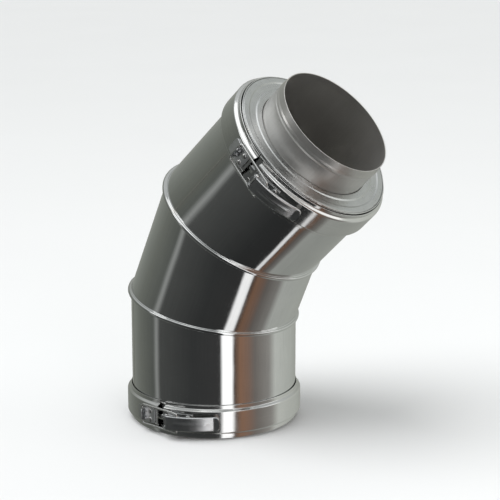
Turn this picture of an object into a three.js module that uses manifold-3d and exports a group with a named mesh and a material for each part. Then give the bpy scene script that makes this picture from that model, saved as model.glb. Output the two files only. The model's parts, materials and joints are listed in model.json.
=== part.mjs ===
// Twin-wall insulated stainless steel flue elbow: 45 degrees in three mitred gores,
// with an over-centre locking band at each end. Millimetres, +Z up.
// It stands on its lower joint face, and its upper leg leans towards +X.
import * as THREE from "three";
import { mergeVertices } from "three/addons/utils/BufferGeometryUtils.js";
import Module from "manifold-3d";

const wasm = await Module();
wasm.setup();

// Driving dimensions of the pipe
const bendAngle = THREE.MathUtils.degToRad(45);
const boreRadius = 62.5;
const casingRadius = 87.5;
const sheet = 1;
const legLength = 125; // end face to first mitre, along the centre line
const middleLength = 100; // mitre to mitre, along the centre line
const spigotLength = 35; // liner past the upper end face
const socketDepth = 38; // widened liner inside the lower end face
const sides = 36; // facets round every pipe section
const gap = 0.3; // play between neighbouring pieces

// Driving dimensions of the locking bands
const bandCentre = 19; // from the end face of a leg
const bandHalfWidth = 17;
const channelHalfWidth = 11.5; // flat crown of the hat section
const beadHeight = 2.4; // rolled bead in the casing, under the crown
const beadHalfWidth = 4.5;
const lipClearance = 0.7; // strap lip to casing, so that facets pass each other
const crownInner = 91.8;
const strapGapHalf = 4; // half of the opening between the strap's ends

// Driving dimensions of a latch, in the band's own plane: x runs along the strap,
// h is the height above the pipe's axis, and z runs along the pipe
const leverPivot = { x: 13, h: 99.6 };
const bailPivot = { x: 25, h: 98.6 };
const bailHook = { x: -24, h: 93 };
const pinRadius = 1.5;
const wireRadius = 1.2;
const plateThickness = 1.2;
const plateHalfWidth = 8;
const earInner = 4.6;
const cheekInner = 6.3;
const bailHalfWidth = 10.2; // to the middle of the wire
const cheekRadius = 3.4;
const earRadius = 3;
const rivetRadius = 1.5;
const rivetOffset = 4.5; // along the pipe, from the band's middle
const keeperRivetX = -13;
const baseRivetX = 32;
const keeperSpan = { from: -33, to: -7 }; // where the keeper's plate lies on the strap
const baseSpan = { from: 7, to: 37 };
const tabHeight = 5; // keeper tab past the middle of the bail's bar
const leverTip = { x: 57, radius: 97.6 };
const leverHeel = { x: leverPivot.x + 2, radius: 104.6 };
const leverBend = 75; // radius of the lever's curved back
const lipLength = 7; // finger lip at the lever's tip
const lipTurn = THREE.MathUtils.degToRad(24);

// Values that follow
const seamTurn = bendAngle / 2;
const mitreSlope = Math.tan(seamTurn / 2);
const casingInner = casingRadius - sheet;
const linerOuter = boreRadius + sheet;
const socketInner = linerOuter + 0.7;
const socketOuter = socketInner + sheet;
const crownOuter = crownInner + sheet;
const saddleInner = crownOuter + gap;
const saddleOuter = saddleInner + plateThickness;
const saddleMiddle = (saddleInner + saddleOuter) / 2;
const seamGap = gap / 2;
const facetReach = Math.cos(Math.PI / sides); // the middle of a facet against its corners

const polished = { color: 0xb9bcbc, roughness: 0.18, metalness: 1 };
const liner = { color: 0x8f8d88, roughness: 0.38, metalness: 1 };
const wool = { color: 0xc8b27a, roughness: 1, metalness: 0 };
const zinc = { color: 0xa6a9ab, roughness: 0.32, metalness: 1 };

function solid(geometry) {
  const bare = geometry.clone();
  bare.deleteAttribute("normal");
  bare.deleteAttribute("uv");
  const merged = mergeVertices(bare, 1e-4);
  const vertProperties = merged.getAttribute("position").array;
  const triVerts = new Uint32Array(merged.index.array);
  return new wasm.Manifold(new wasm.Mesh({ numProp: 3, vertProperties, triVerts }));
}

function geometryOf(body) {
  const mesh = body.getMesh();
  const geometry = new THREE.BufferGeometry();
  geometry.setAttribute("position", new THREE.BufferAttribute(mesh.vertProperties, 3));
  geometry.setIndex(new THREE.BufferAttribute(mesh.triVerts, 1));
  geometry.computeVertexNormals();
  return geometry;
}

function piece(name, geometry, look) {
  const mesh = new THREE.Mesh(geometry, new THREE.MeshStandardMaterial(look));
  mesh.name = name;
  return mesh;
}

// A ring-shaped body round the Z axis. A profile point is [radius, height, lean]. Lean 1 or -1
// tips its ring of points onto the mitre plane of a lower or an upper seam.
function pipeBody(profile) {
  const outline = profile.map(([radius, height]) => new THREE.Vector2(radius, height));
  outline.push(outline[0].clone());
  const geometry = new THREE.LatheGeometry(outline, sides);
  geometry.rotateX(Math.PI / 2);
  const position = geometry.getAttribute("position");
  for (let i = 0; i < position.count; i++) {
    const [, , lean = 0] = profile[(i % outline.length) % profile.length];
    position.setZ(i, position.getZ(i) + lean * mitreSlope * position.getX(i));
  }
  return geometry;
}

// The rolled bead that a locking band sits on, as profile points going up
function beadProfile(centre) {
  const crest = casingRadius + beadHeight;
  const shoulder = casingRadius + 0.75 * beadHeight;
  const shoulderHalfWidth = 0.55 * beadHalfWidth;
  return [
    [casingRadius, centre - beadHalfWidth],
    [shoulder, centre - shoulderHalfWidth],
    [crest, centre],
    [shoulder, centre + shoulderHalfWidth],
    [casingRadius, centre + beadHalfWidth],
  ];
}

// The raised lock seam: a flange that turns out along the mitre plane, as profile points going up
const seamFlange = { height: 3.2, thickness: 1.9 };

function flangeAtTop(length) {
  const crest = casingRadius + seamFlange.height;
  const top = length - seamGap;
  return [
    [casingRadius, top - seamFlange.thickness, -1],
    [crest, top - seamFlange.thickness, -1],
    [crest, top, -1],
    [casingInner, top, -1],
  ];
}

function flangeAtBottom() {
  const crest = casingRadius + seamFlange.height;
  return [
    [casingInner, seamGap, 1],
    [crest, seamGap, 1],
    [crest, seamGap + seamFlange.thickness, 1],
    [casingRadius, seamGap + seamFlange.thickness, 1],
  ];
}

function lowerCasing() {
  return pipeBody([
    [casingInner, 0],
    [casingRadius, 0],
    ...beadProfile(bandCentre),
    ...flangeAtTop(legLength),
  ]);
}

function middleCasing() {
  return pipeBody([...flangeAtBottom(), ...flangeAtTop(middleLength)]);
}

function upperCasing() {
  return pipeBody([
    ...flangeAtBottom(),
    ...beadProfile(legLength - bandCentre),
    [casingRadius, legLength],
    [casingInner, legLength],
  ]);
}

// The lower liner widens into the socket that takes the spigot of the pipe below
function lowerLiner() {
  const taper = 4;
  return pipeBody([
    [socketInner, 0],
    [socketOuter, 0],
    [socketOuter, socketDepth],
    [linerOuter, socketDepth + taper],
    [linerOuter, legLength - seamGap, -1],
    [boreRadius, legLength - seamGap, -1],
    [boreRadius, socketDepth + taper],
    [socketInner, socketDepth],
  ]);
}

function middleLiner() {
  return pipeBody([
    [boreRadius, seamGap, 1],
    [linerOuter, seamGap, 1],
    [linerOuter, middleLength - seamGap, -1],
    [boreRadius, middleLength - seamGap, -1],
  ]);
}

// The upper liner ends in the spigot, with a rolled stiffening bead and a drawn-in lead
function upperLiner() {
  const tip = legLength + spigotLength;
  const leadStart = tip - 7;
  const leadDepth = 0.6;
  const beadCrest = linerOuter + 0.5;
  const beadLength = 6;
  return pipeBody([
    [boreRadius, seamGap, 1],
    [linerOuter, seamGap, 1],
    [linerOuter, leadStart - beadLength],
    [beadCrest, leadStart - (2 / 3) * beadLength],
    [beadCrest, leadStart - (1 / 3) * beadLength],
    [linerOuter, leadStart],
    [linerOuter - leadDepth, tip],
    [boreRadius - leadDepth, tip],
    [boreRadius, leadStart],
  ]);
}

const ringDepth = 6;
const ringWeb = 1.2;

// The mineral wool between the two walls. A lean tips that end onto a mitre plane.
function insulation(bottom, bottomLean, top, topLean) {
  const inner = socketOuter + 2 * gap;
  const outer = casingInner - 2 * gap;
  return pipeBody([
    [inner, bottom, bottomLean],
    [outer, bottom, bottomLean],
    [outer, top, topLean],
    [inner, top, topLean],
  ]);
}

// A pressed channel ring that closes the insulation space. Its web lies on the end face,
// and its flanges reach `depth` into the space: up where depth is positive, down where negative.
function endRing(innerRadius, face, depth) {
  const outerRadius = casingInner - gap;
  const web = face + Math.sign(depth) * ringWeb;
  const tip = face + depth;
  const profile = [
    [innerRadius, face],
    [outerRadius, face],
    [outerRadius, tip],
    [outerRadius - sheet, tip],
    [outerRadius - sheet, web],
    [innerRadius + sheet, web],
    [innerRadius + sheet, tip],
    [innerRadius, tip],
  ];
  return pipeBody(depth > 0 ? profile : profile.reverse());
}

// Turns a body built along +Y so that it points out from the pipe's axis at strap position x
function placeRadially(geometry, x, radius, z) {
  geometry.rotateX(Math.PI);
  geometry.rotateZ(Math.asin(x / radius));
  geometry.translate(0, 0, z);
  return geometry;
}

// A rivet with a flat tail under the strap and a domed head on the plate
function rivet(x, z) {
  const tail = crownInner * facetReach - gap;
  const tailRadius = 2.4;
  const tailThickness = 0.7;
  const head = saddleOuter + gap;
  const headRadius = 2.8;
  const headHeight = 1.3;
  const profile = [
    [0, tail - tailThickness],
    [tailRadius, tail - tailThickness],
    [tailRadius, tail],
    [rivetRadius, tail],
    [rivetRadius, head],
    [headRadius, head],
    [0.8 * headRadius, head + 0.7 * headHeight],
    [0, head + headHeight],
  ];
  const outline = profile.map(([radius, height]) => new THREE.Vector2(radius, height));
  return placeRadially(new THREE.LatheGeometry(outline, 12), x, saddleMiddle, z);
}

function rivetHole(x, z) {
  const length = 8;
  const cutter = new THREE.CylinderGeometry(rivetRadius + gap, rivetRadius + gap, length, 12);
  cutter.translate(0, saddleInner, 0);
  return solid(placeRadially(cutter, x, saddleMiddle, z));
}

function withRivetHoles(body, x) {
  return body.subtract(rivetHole(x, -rivetOffset)).subtract(rivetHole(x, rivetOffset));
}

// The strap has a hat section: a raised crown over the casing's bead and a lip on each side
function bandStrap() {
  const lipInner = casingRadius + lipClearance;
  const lipOuter = lipInner + sheet;
  const slope = 1.5;
  const inset = 0.6;
  const ring = pipeBody([
    [lipOuter, -bandHalfWidth],
    [lipOuter, -channelHalfWidth - slope],
    [crownOuter, -channelHalfWidth],
    [crownOuter, channelHalfWidth],
    [lipOuter, channelHalfWidth + slope],
    [lipOuter, bandHalfWidth],
    [lipInner, bandHalfWidth],
    [lipInner, channelHalfWidth + slope - inset],
    [crownInner, channelHalfWidth - inset],
    [crownInner, -channelHalfWidth + inset],
    [lipInner, -channelHalfWidth - slope + inset],
    [lipInner, -bandHalfWidth],
  ]);
  const opening = new THREE.BoxGeometry(2 * strapGapHalf, 20, 3 * bandHalfWidth);
  opening.translate(0, -crownOuter, 0);
  const split = solid(ring).subtract(solid(opening));
  return geometryOf(withRivetHoles(withRivetHoles(split, keeperRivetX), baseRivetX));
}

// A curved plate that lies on the strap's crown between two strap positions
function saddle(span) {
  const ring = pipeBody([
    [saddleInner, -plateHalfWidth],
    [saddleOuter, -plateHalfWidth],
    [saddleOuter, plateHalfWidth],
    [saddleInner, plateHalfWidth],
  ]);
  const window = new THREE.BoxGeometry(span.to - span.from, saddleOuter, 3 * plateHalfWidth);
  window.translate((span.from + span.to) / 2, -saddleOuter, 0);
  return solid(ring).intersect(solid(window));
}

// A flat plate cut to an outline in x and h, between two distances from the band's middle plane
function flatPlate(points, fromZ, toZ) {
  const outline = new THREE.Shape(points.map(([x, h]) => new THREE.Vector2(x, h)));
  const geometry = new THREE.ExtrudeGeometry(outline, { depth: toZ - fromZ, bevelEnabled: false });
  geometry.translate(0, 0, fromZ);
  geometry.rotateX(Math.PI);
  return solid(geometry);
}

function platePair(points, inner) {
  const outer = inner + plateThickness;
  return flatPlate(points, inner, outer).add(flatPlate(points, -outer, -inner));
}

// Points on an arc in x and h, from one angle to another in degrees
function arcPoints(centre, radius, fromDegrees, toDegrees, steps) {
  const points = [];
  for (let i = 0; i <= steps; i++) {
    const angle = THREE.MathUtils.degToRad(fromDegrees + ((toDegrees - fromDegrees) * i) / steps);
    points.push([centre.x + radius * Math.cos(angle), centre.h + radius * Math.sin(angle)]);
  }
  return points;
}

function onCircle(x, radius) {
  return [x, Math.sqrt(radius * radius - x * x)];
}

function crossHole(body, centre, radius) {
  const cutter = new THREE.CylinderGeometry(radius, radius, 4 * plateHalfWidth, 12);
  cutter.rotateX(Math.PI / 2);
  cutter.translate(centre.x, -centre.h, 0);
  return body.subtract(solid(cutter));
}

function latchBase() {
  const footX = [leverPivot.x + 3 * earRadius, leverPivot.x + earRadius, leverPivot.x - earRadius];
  const foot = footX.map((x) => onCircle(x, saddleMiddle));
  const ear = [...arcPoints(leverPivot, earRadius, 180, 30, 6), ...foot];
  const bracket = saddle(baseSpan).add(platePair(ear, earInner));
  const drilled = crossHole(bracket, leverPivot, pinRadius + gap);
  return geometryOf(withRivetHoles(drilled, baseRivetX));
}

function latchKeeper() {
  const tabHalfWidth = 6;
  const tabTop = bailHook.h + tabHeight;
  const tabLeft = bailHook.x + wireRadius + gap;
  const tabFoot = onCircle(tabLeft, saddleMiddle)[1];
  const tab = [
    [tabLeft, tabFoot],
    [tabLeft + plateThickness, tabFoot],
    [tabLeft + plateThickness, tabTop],
    [tabLeft, tabTop],
  ];
  const hooked = saddle(keeperSpan).add(flatPlate(tab, -tabHalfWidth, tabHalfWidth));
  return geometryOf(withRivetHoles(hooked, keeperRivetX));
}

// The middle line of the lever's back: an arc from just past its pivot to its tip, close to the
// strap there, and a short straight finger lip that turns away from the strap
function leverBackLine() {
  const start = new THREE.Vector2(...onCircle(leverHeel.x, leverHeel.radius));
  const tip = new THREE.Vector2(...onCircle(leverTip.x, leverTip.radius));
  const half = start.distanceTo(tip) / 2;
  const along = tip.clone().sub(start).normalize();
  const inward = new THREE.Vector2(along.y, -along.x);
  const centre = start.clone().add(tip).multiplyScalar(0.5);
  centre.addScaledVector(inward, Math.sqrt(leverBend * leverBend - half * half));
  const fromDegrees = THREE.MathUtils.radToDeg(Math.atan2(start.y - centre.y, start.x - centre.x));
  const toDegrees = THREE.MathUtils.radToDeg(Math.atan2(tip.y - centre.y, tip.x - centre.x));
  const line = arcPoints({ x: centre.x, h: centre.y }, leverBend, fromDegrees, toDegrees, 8);
  const lipAngle = THREE.MathUtils.degToRad(toDegrees - 90) + lipTurn;
  line.push([tip.x + lipLength * Math.cos(lipAngle), tip.y + lipLength * Math.sin(lipAngle)]);
  return line;
}

// The outline of a strip of even thickness along a line of points
function stripOutline(line, thickness) {
  const left = [];
  const right = [];
  line.forEach(([x, h], i) => {
    const before = line[Math.max(i - 1, 0)];
    const after = line[Math.min(i + 1, line.length - 1)];
    const length = Math.hypot(after[0] - before[0], after[1] - before[1]);
    const across = [-(after[1] - before[1]) / length, (after[0] - before[0]) / length];
    left.push([x + (across[0] * thickness) / 2, h + (across[1] * thickness) / 2]);
    right.unshift([x - (across[0] * thickness) / 2, h - (across[1] * thickness) / 2]);
  });
  return [...left, ...right];
}

function latchLever() {
  const backLine = leverBackLine();
  const cheekOuter = cheekInner + plateThickness;
  const back = flatPlate(stripOutline(backLine, plateThickness), -cheekOuter, cheekOuter);
  const cheek = [
    ...arcPoints(leverPivot, cheekRadius, -90, -240, 6),
    ...backLine.slice(0, 4),
    ...arcPoints(bailPivot, cheekRadius, 0, -90, 4),
  ];
  const pressed = back.add(platePair(cheek, cheekInner));
  const drilled = crossHole(pressed, leverPivot, pinRadius + gap);
  return geometryOf(crossHole(drilled, bailPivot, wireRadius + gap));
}

function leverPin() {
  const headInner = cheekInner + plateThickness + gap;
  const headOuter = headInner + 0.9;
  const headRadius = 2.6;
  const profile = [
    [0, -headOuter],
    [headRadius, -headOuter],
    [headRadius, -headInner],
    [pinRadius, -headInner],
    [pinRadius, headInner],
    [headRadius, headInner],
    [headRadius, headOuter],
    [0, headOuter],
  ];
  const outline = profile.map(([radius, height]) => new THREE.Vector2(radius, height));
  const pin = new THREE.LatheGeometry(outline, 12);
  pin.rotateX(Math.PI / 2);
  pin.translate(leverPivot.x, -leverPivot.h, 0);
  return pin;
}

// A path of straight lines whose corners are rounded by Bezier curves
function roundedPath(corners, radius) {
  const path = new THREE.CurvePath();
  let from = corners[0];
  for (let i = 1; i < corners.length - 1; i++) {
    const corner = corners[i];
    const before = corner.clone().sub(corners[i - 1]).normalize();
    const after = corners[i + 1].clone().sub(corner).normalize();
    const enter = corner.clone().addScaledVector(before, -radius);
    const leave = corner.clone().addScaledVector(after, radius);
    path.add(new THREE.LineCurve3(from, enter));
    path.add(new THREE.QuadraticBezierCurve3(enter, corner, leave));
    from = leave;
  }
  path.add(new THREE.LineCurve3(from, corners[corners.length - 1]));
  return path;
}

// The wire bail: both ends turn in through the lever's cheeks, and the far bar hooks the keeper
function latchBail() {
  const tipZ = cheekInner - 0.2;
  const corners = [
    [bailPivot, tipZ],
    [bailPivot, bailHalfWidth],
    [bailHook, bailHalfWidth],
    [bailHook, -bailHalfWidth],
    [bailPivot, -bailHalfWidth],
    [bailPivot, -tipZ],
  ].map(([place, z]) => new THREE.Vector3(place.x, -place.h, z));
  const wireSides = 8;
  const section = new THREE.Shape(
    arcPoints({ x: 0, h: 0 }, wireRadius, 0, 360 - 360 / wireSides, wireSides - 1).map(
      ([x, y]) => new THREE.Vector2(x, y),
    ),
  );
  return new THREE.ExtrudeGeometry(section, {
    steps: 48,
    bevelEnabled: false,
    extrudePath: roundedPath(corners, 2),
  });
}

function lockingBand(prefix) {
  const band = new THREE.Group();
  band.add(
    piece(`${prefix}_band_strap`, bandStrap(), polished),
    piece(`${prefix}_latch_base`, latchBase(), zinc),
    piece(`${prefix}_base_rivet_1`, rivet(baseRivetX, -rivetOffset), zinc),
    piece(`${prefix}_base_rivet_2`, rivet(baseRivetX, rivetOffset), zinc),
    piece(`${prefix}_latch_keeper`, latchKeeper(), zinc),
    piece(`${prefix}_keeper_rivet_1`, rivet(keeperRivetX, -rivetOffset), zinc),
    piece(`${prefix}_keeper_rivet_2`, rivet(keeperRivetX, rivetOffset), zinc),
    piece(`${prefix}_latch_lever`, latchLever(), zinc),
    piece(`${prefix}_lever_pin`, leverPin(), zinc),
    piece(`${prefix}_latch_bail`, latchBail(), zinc),
  );
  return band;
}

const lowerLeg = new THREE.Group();
lowerLeg.add(
  piece("lower_casing", lowerCasing(), polished),
  piece("lower_liner", lowerLiner(), liner),
  piece("lower_insulation", insulation(ringDepth + gap, 0, legLength - seamGap, -1), wool),
  piece("lower_end_ring", endRing(socketOuter + gap, 0, ringDepth), polished),
);
const lowerBand = lockingBand("lower");
lowerBand.position.set(0, 0, bandCentre);
lowerLeg.add(lowerBand);

const middleGore = new THREE.Group();
middleGore.position.set(0, 0, legLength);
middleGore.rotation.y = seamTurn;
middleGore.add(
  piece("middle_casing", middleCasing(), polished),
  piece("middle_liner", middleLiner(), liner),
  piece("middle_insulation", insulation(seamGap, 1, middleLength - seamGap, -1), wool),
);

const upperLeg = new THREE.Group();
upperLeg.position.set(0, 0, middleLength);
upperLeg.rotation.y = seamTurn;
upperLeg.add(
  piece("upper_casing", upperCasing(), polished),
  piece("upper_liner", upperLiner(), liner),
  piece("upper_insulation", insulation(seamGap, 1, legLength - ringDepth - gap, 0), wool),
  piece("upper_end_ring", endRing(linerOuter + gap, legLength, -ringDepth), polished),
);
const upperBand = lockingBand("upper");
upperBand.position.set(0, 0, legLength - bandCentre);
upperLeg.add(upperBand);
middleGore.add(upperLeg);

// The origin is the middle of the elbow's bounding box, on the plane that it stands on
const elbow = new THREE.Group();
elbow.add(lowerLeg, middleGore);
const box = new THREE.Box3().setFromObject(elbow, true);
elbow.position.set(-(box.min.x + box.max.x) / 2, -(box.min.y + box.max.y) / 2, -box.min.z);
const flueElbow = new THREE.Group();
flueElbow.add(elbow);

export default flueElbow;
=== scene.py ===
"""The looks of the twin-wall flue elbow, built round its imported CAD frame. Metres, +Z up.

The three casing gores, the liners, the end rings and both locking bands are rebuilt here as smooth
pressed and rolled sheet. A leg is a straight run of pipe with its own frame: z along the pipe from
its start, and x the way the elbow leans.
"""

import json
import math

import bmesh
import bpy
from mathutils import Matrix, Vector


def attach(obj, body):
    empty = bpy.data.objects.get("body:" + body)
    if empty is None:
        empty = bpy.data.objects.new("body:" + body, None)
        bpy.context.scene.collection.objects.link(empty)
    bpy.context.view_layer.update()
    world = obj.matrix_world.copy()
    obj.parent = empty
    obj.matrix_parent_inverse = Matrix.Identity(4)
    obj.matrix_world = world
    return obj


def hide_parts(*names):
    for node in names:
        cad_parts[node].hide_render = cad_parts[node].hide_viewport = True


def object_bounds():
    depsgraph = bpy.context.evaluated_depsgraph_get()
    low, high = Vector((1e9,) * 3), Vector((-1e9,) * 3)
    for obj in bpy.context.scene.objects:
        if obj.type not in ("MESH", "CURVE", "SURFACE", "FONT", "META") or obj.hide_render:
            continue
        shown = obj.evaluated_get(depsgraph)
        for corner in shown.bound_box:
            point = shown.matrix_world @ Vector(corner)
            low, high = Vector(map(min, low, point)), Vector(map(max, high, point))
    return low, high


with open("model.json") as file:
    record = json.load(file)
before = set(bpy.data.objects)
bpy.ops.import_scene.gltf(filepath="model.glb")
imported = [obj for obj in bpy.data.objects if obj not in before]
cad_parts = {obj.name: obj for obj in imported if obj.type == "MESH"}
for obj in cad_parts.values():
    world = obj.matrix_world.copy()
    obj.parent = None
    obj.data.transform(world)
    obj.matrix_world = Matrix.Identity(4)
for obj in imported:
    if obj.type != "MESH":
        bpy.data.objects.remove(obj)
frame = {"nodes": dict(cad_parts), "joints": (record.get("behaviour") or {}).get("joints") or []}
cad_low, cad_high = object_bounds()

MM = 0.001
TAU = 2 * math.pi

# Pipe, as in the CAD
BORE = 62.5 * MM
CASING = 87.5 * MM
SHEET = 1.0 * MM
LEG_LENGTH = 125 * MM
MIDDLE_LENGTH = 100 * MM
SPIGOT = 35 * MM
SOCKET_DEPTH = 38 * MM
SOCKET_TAPER = 4 * MM
SEAM_TURN = math.radians(22.5)
MITRE_SLOPE = math.tan(SEAM_TURN / 2)
LINER = BORE + SHEET
SOCKET_INNER = LINER + 0.7 * MM
SOCKET_OUTER = SOCKET_INNER + SHEET
GAP = 0.3 * MM

# Seams between the gores. The casing's are folded over a flange. Reach, inner and crest are how
# far out they stand from the casing
SEAM_GAP = 0.15 * MM  # from a sheet's end to the mitre plane
FLANGE_REACH = 2.2 * MM
FLANGE_THICKNESS = 0.85 * MM
FOLD_INNER = 2.3 * MM
FOLD_CREST = 3.2 * MM
FOLD_HALF_HEIGHT = 1.95 * MM

# Straight welds, one up each rolled sheet
WELD_HALF_WIDTH = 0.9 * MM
WELD_HEIGHT = 0.16 * MM
WELD_TINT = 5 * MM  # how far the heat tint spreads to each side of a weld

# Locking band, as in the CAD
BAND_CENTRE = 19 * MM
BAND_HALF_WIDTH = 17 * MM
CHANNEL_HALF_WIDTH = 11.5 * MM
CHANNEL_SLOPE = 1.6 * MM
BEAD_HEIGHT = 2.4 * MM
BEAD_HALF_WIDTH = 4.5 * MM
BEAD_CREST_HALF_WIDTH = 0.3 * BEAD_HALF_WIDTH
BEAD_FILLET = 2 * MM
LIP_INNER = CASING + 0.7 * MM
CROWN_INNER = 91.8 * MM
CROWN_OUTER = CROWN_INNER + SHEET
STRAP_GAP_HALF = 4 * MM

# Latch, as in the CAD: x along the strap, h above the pipe's axis, z along the pipe
LEVER_PIVOT = (13 * MM, 99.6 * MM)
BAIL_PIVOT = (25 * MM, 98.6 * MM)
BAIL_HOOK = (-24 * MM, 93 * MM)
PIN_RADIUS = 1.5 * MM
WIRE_RADIUS = 1.2 * MM
PLATE = 1.2 * MM
PLATE_HALF_WIDTH = 8 * MM
PLATE_CORNER = 2.5 * MM
PLATE_EDGE = 0.25 * MM  # how far a cut edge is rounded
EAR_INNER = 4.6 * MM
EAR_RADIUS = 3 * MM
CHEEK_INNER = 6.3 * MM
CHEEK_RADIUS = 3.4 * MM
BAIL_HALF_WIDTH = 10.2 * MM
BAIL_BEND = 2.6 * MM
RIVET_OFFSET = 4.5 * MM
RIVET_RADIUS = 1.5 * MM
KEEPER_RIVET_X = -13 * MM
BASE_RIVET_X = 32 * MM
KEEPER_SPAN = (-33 * MM, -7 * MM)
BASE_SPAN = (7 * MM, 37 * MM)
SADDLE_INNER = CROWN_OUTER + GAP
SADDLE_MIDDLE = SADDLE_INNER + PLATE / 2

# Lever: x along the strap and distance from the pipe's axis, for its heel and its tip
LEVER_HEEL = (15 * MM, 104.58 * MM)
LEVER_TIP = (57 * MM, 97.6 * MM)
LEVER_BEND = 75 * MM
LEVER_LIP = 7 * MM
LEVER_LIP_TURN = math.radians(24)
LEVER_TIP_CORNER = 3.5 * MM
LEVER_EDGE = 1.35 * MM  # how far its long edges turn down, with the sheet's thickness, at its ends
LEVER_FOLD = 1.25 * MM  # how much further they turn down along its middle
LEVER_FOLD_RADIUS = 1.4 * MM
LEVER_RIB = 0.55 * MM
LEVER_RIB_HALF_WIDTH = 2.6 * MM

# How finely round shapes are cut
PIPE_SEGMENTS = 192
HOLE_SEGMENTS = 24
PIN_SEGMENTS = 24
WIRE_SEGMENTS = 16
AXIS_RADIUS = 0.02 * MM  # stands for a point on a turned part's axis
SAME_POINT = 0.001 * MM  # points closer than this are one

# Camera. Its lens and sensor are in millimetres
VIEW_AZIMUTH = math.radians(35.5)
VIEW_ELEVATION = math.radians(13.4)
LENS = 120
SENSOR_WIDTH = 36


# ---------------------------------------------------------------- frames


def joint_named(name):
    return next(joint for joint in frame["joints"] if joint["name"] == name)


def leg_frame(start, lean):
    """The matrix of a run of pipe that starts at a point and leans towards +X."""
    along = Vector((math.sin(lean), 0, math.cos(lean)))
    across = Vector((math.cos(lean), 0, -math.sin(lean)))
    matrix = Matrix((across, Vector((0, 1, 0)), along)).transposed().to_4x4()
    matrix.translation = start
    return matrix


band_on_lower = Vector(joint_named("lower_band_turn")["pos_m"])
lower_leg = leg_frame(band_on_lower - Vector((0, 0, BAND_CENTRE)), 0)
middle_leg = leg_frame(lower_leg @ Vector((0, 0, LEG_LENGTH)), SEAM_TURN)
upper_leg = leg_frame(middle_leg @ Vector((0, 0, MIDDLE_LENGTH)), 2 * SEAM_TURN)


# ---------------------------------------------------------------- mesh building


def finish_piece(mesh, name, body, slot, nodes=(), finish=None, smooth_angle=40):
    """Shades a mesh, and makes it the piece that rides on a body and stands for its CAD nodes. Its
    finish is its slot's own unless another is named."""
    mesh.shade_smooth()
    mesh.set_sharp_from_angle(angle=math.radians(smooth_angle))
    mesh.materials.clear()
    mesh.materials.append(steels[finish or slot])
    piece = bpy.data.objects.new(name, mesh)
    bpy.context.scene.collection.objects.link(piece)
    weighted = piece.modifiers.new("weighted_normals", "WEIGHTED_NORMAL")
    weighted.keep_sharp = True
    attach(piece, body)
    if nodes:
        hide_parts(*nodes)


def corner_arc(before, corner, after, radius, steps):
    """Points of the arc that rounds one corner of an outline."""
    nearly_straight = math.pi - 0.02
    nearly_half = 0.48
    to_before = before - corner
    to_after = after - corner
    angle = to_before.angle(to_after, math.pi)
    if radius <= 0 or angle > nearly_straight:
        return [corner]
    shorter = min(to_before.length, to_after.length)
    reach = min(radius / math.tan(angle / 2), nearly_half * shorter)
    radius = reach * math.tan(angle / 2)
    to_before.normalize()
    to_after.normalize()
    centre = corner + (to_before + to_after).normalized() * radius / math.sin(angle / 2)
    start = corner + to_before * reach - centre
    end = corner + to_after * reach - centre
    sweep = start.angle_signed(end)
    turned = []
    for i in range(steps + 1):
        turn = Matrix.Rotation(-sweep * i / steps, 2)
        turned.append(centre + turn @ start)
    return turned


def rounded_profile(corners, steps=4):
    """Rounds a closed profile. A corner is (radius, height, lean, fillet). The points that come
    back are (radius, height, lean)."""
    points = []
    count = len(corners)
    for i, (radius, height, lean, fillet) in enumerate(corners):
        before = Vector(corners[i - 1][:2])
        after = Vector(corners[(i + 1) % count][:2])
        for point in corner_arc(before, Vector((radius, height)), after, fillet, steps):
            points.append((point.x, point.y, lean))
    return points


def rounded_outline(corners):
    """Rounds a closed flat outline whose corners are (x, y, radius)."""
    with_lean = [(x, y, 0, radius) for x, y, radius in corners]
    return [(x, y) for x, y, lean in rounded_profile(with_lean, steps=6)]


def arc_points(centre, radius, first, last, steps):
    """Points along an arc between two angles in degrees."""
    x, y = centre
    turns = [math.radians(first + (last - first) * i / steps) for i in range(steps + 1)]
    return [(x + radius * math.cos(turn), y + radius * math.sin(turn)) for turn in turns]


def circle_outline(x, y, radius):
    """A circle's points. None lies level with the centre, because Blender then bevels the second
    of two holes the wrong way."""
    off_level = 0.4
    turns = [TAU * (i + off_level) / HOLE_SEGMENTS for i in range(HOLE_SEGMENTS)]
    return [(x + radius * math.cos(turn), y + radius * math.sin(turn)) for turn in turns]


def write_closed(built, mesh):
    """Writes a closed body to a mesh with its faces turned outwards."""
    bmesh.ops.recalc_face_normals(built, faces=built.faces)
    if built.calc_volume(signed=True) < 0:
        bmesh.ops.reverse_faces(built, faces=built.faces)
    built.to_mesh(mesh)
    built.free()


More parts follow.
